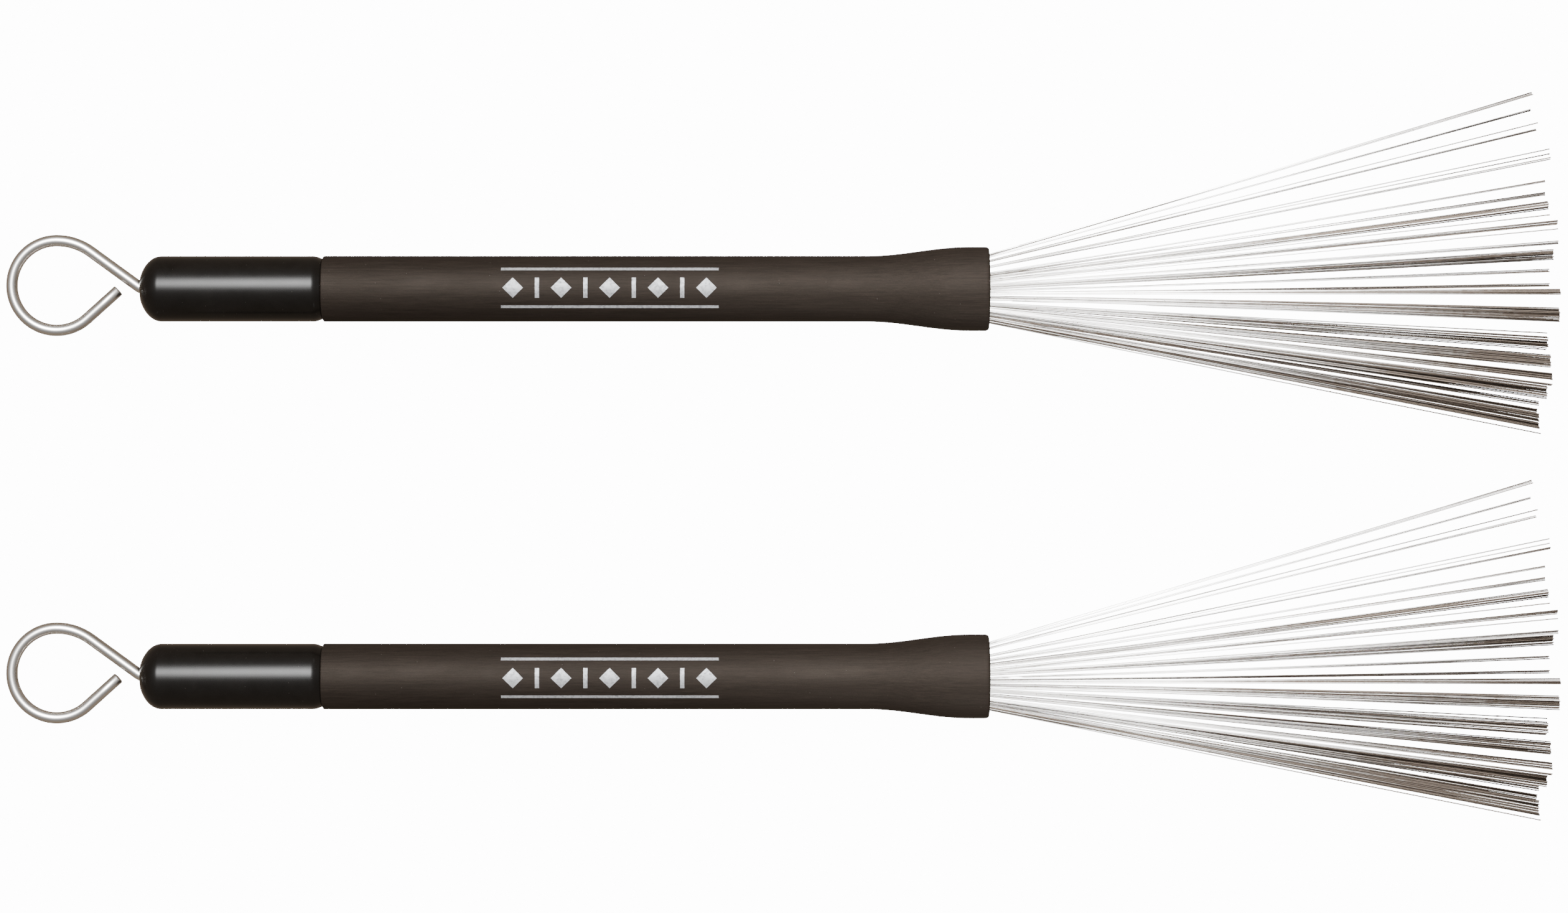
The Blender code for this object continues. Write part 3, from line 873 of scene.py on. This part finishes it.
for side in sides:
    gripRadius = makeGrip(side)
    makeCap(side)
    makeRod(side)
    makePrint(side, gripRadius)
    chance = random.Random(7)
    for number in range(1, lockCount + 1):
        makeWires(side, number, chance)
    for part in ("handle_tube", "rear_bush", "friction_ring", "slide_guide", "rod_clip", "ferrule"):
        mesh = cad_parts[f"{side}_{part}"].data
        mesh.materials.clear()
        mesh.materials.append(looks[part])
    print("brush made:", side)


stageLook = {
    "floorSize": 8.0,
    "floorDrop": 0.0002,  # under what rests on it
    "paper": 14.0,  # how bright the floor and backdrop look to the camera
    "cameraHeight": 0.90,  # over the brushes' centre lines
    "frameWidth": 0.3392,
    "sensor": 36,
}
lightLook = {
    "lean": (-5, 19.5),  # degrees off straight up: towards the loops, and towards the left brush
    "spread": (8, 10),  # degrees from the middle to where the light has fallen by 40 per cent
    "power": 42.0,
    "haloSpread": (26, 26),
    "halo": 1.3,
    "room": (0.30, 0.24, 0.185),  # what the metal's edges mirror
    "ceiling": 0.22,
    "horizon": (0.15, 0.85),  # heights between which the room gives way to the ceiling
    "sideBoxes": {"watts": 0.10, "beam": 40, "size": (0.11, 0.28), "ahead": 0.058, "out": 0.42,
                  "up": 0.22},
}


def makeFloor():
    bm = bmesh.new()
    bmesh.ops.create_grid(bm, x_segments=1, y_segments=1, size=stageLook["floorSize"] / 2)
    mesh = bpy.data.meshes.new("floor")
    bm.to_mesh(mesh)
    bm.free()
    floor = bpy.data.objects.new("floor", mesh)
    floor.location.z = -stageLook["floorDrop"]
    bpy.context.scene.collection.objects.link(floor)
    material = bpy.data.materials.new("palePaper")
    material.use_nodes = True
    nodes, links = material.node_tree.nodes, material.node_tree.links
    nodes.remove(nodes["Principled BSDF"])
    rays = nodes.new("ShaderNodeLightPath")
    bright, dim = nodes.new("ShaderNodeEmission"), nodes.new("ShaderNodeEmission")
    bright.inputs["Strength"].default_value = stageLook["paper"]
    dim.inputs["Color"].default_value = (*lightLook["room"], 1)
    choice = nodes.new("ShaderNodeMixShader")
    links.new(rays.outputs["Is Camera Ray"], choice.inputs[0])
    links.new(dim.outputs[0], choice.inputs[1])
    links.new(bright.outputs[0], choice.inputs[2])
    links.new(choice.outputs[0], nodes["Material Output"].inputs["Surface"])
    mesh.materials.append(material)


def makeLight():  # one big soft overhead light, brightest in its middle
    look = lightLook
    world = bpy.data.worlds.new("studio")
    bpy.context.scene.world = world
    world.use_nodes = True
    nodes, links = world.node_tree.nodes, world.node_tree.links
    background = nodes["Background"]
    place = nodes.new("ShaderNodeTexCoord").outputs["Generated"]
    parts = nodes.new("ShaderNodeSeparateXYZ")
    links.new(place, parts.inputs[0])

    def glow(spreads, power):
        away = []
        for label, lean, spread in zip("XY", look["lean"], spreads):
            angle = mathNode(nodes, links, "ARCTAN2", parts.outputs[label], parts.outputs["Z"])
            off = mathNode(nodes, links, "SUBTRACT", angle, math.radians(lean))
            share = mathNode(nodes, links, "DIVIDE", off, math.radians(spread))
            away.append(mathNode(nodes, links, "MULTIPLY", share, share))
        fall = mathNode(nodes, links, "MULTIPLY", mathNode(nodes, links, "ADD", *away), -0.5)
        return mathNode(nodes, links, "MULTIPLY", mathNode(nodes, links, "EXPONENT", fall), power)

    white = mathNode(nodes, links, "ADD", glow(look["spread"], look["power"]),
                     glow(look["haloSpread"], look["halo"]))
    up = ranged(nodes, links, parts.outputs["Z"], *look["horizon"])
    ceiling = blended(nodes, links, up, look["room"], (look["ceiling"],) * 3)
    total = nodes.new("ShaderNodeVectorMath")
    total.operation = "ADD"
    links.new(ceiling, total.inputs[0])
    links.new(white, total.inputs[1])
    links.new(total.outputs[0], background.inputs["Color"])
    rays = nodes.new("ShaderNodeLightPath")
    backdrop = nodes.new("ShaderNodeBackground")
    backdrop.inputs["Strength"].default_value = stageLook["paper"]
    choice = nodes.new("ShaderNodeMixShader")
    links.new(rays.outputs["Is Camera Ray"], choice.inputs[0])
    links.new(background.outputs[0], choice.inputs[1])
    links.new(backdrop.outputs[0], choice.inputs[2])
    links.new(choice.outputs[0], nodes["World Output"].inputs["Surface"])
    box = look["sideBoxes"]
    mouth = axisOf("left").x
    for side in (1, -1):  # low softboxes on both sides whiten the wires at their roots
        data = bpy.data.lights.new("sideBox", "AREA")
        data.shape = "RECTANGLE"
        data.size, data.size_y = box["size"]
        data.spread = math.radians(box["beam"])
        data.energy = box["watts"]
        lamp = bpy.data.objects.new("sideBox", data)
        spot = Vector((mouth + box["ahead"], box["out"] * side, box["up"]))
        lamp.matrix_world = facing(spot, (0, spot.y, spot.z))
        lamp.visible_camera = False
        bpy.context.scene.collection.objects.link(lamp)


def makeCamera():
    low, high = cadBox
    middle = (Vector(low) + Vector(high)) / 2
    data = bpy.data.cameras.new("camera")
    data.sensor_width = stageLook["sensor"]
    data.lens = stageLook["sensor"] * stageLook["cameraHeight"] / stageLook["frameWidth"]
    data.clip_start, data.clip_end = 0.05, 20
    camera = bpy.data.objects.new("camera", data)
    camera.location = (middle.x, middle.y, axisOf("left").z + stageLook["cameraHeight"])
    bpy.context.scene.collection.objects.link(camera)
    bpy.context.scene.camera = camera


makeFloor()
makeLight()
makeCamera()
print("stage made")
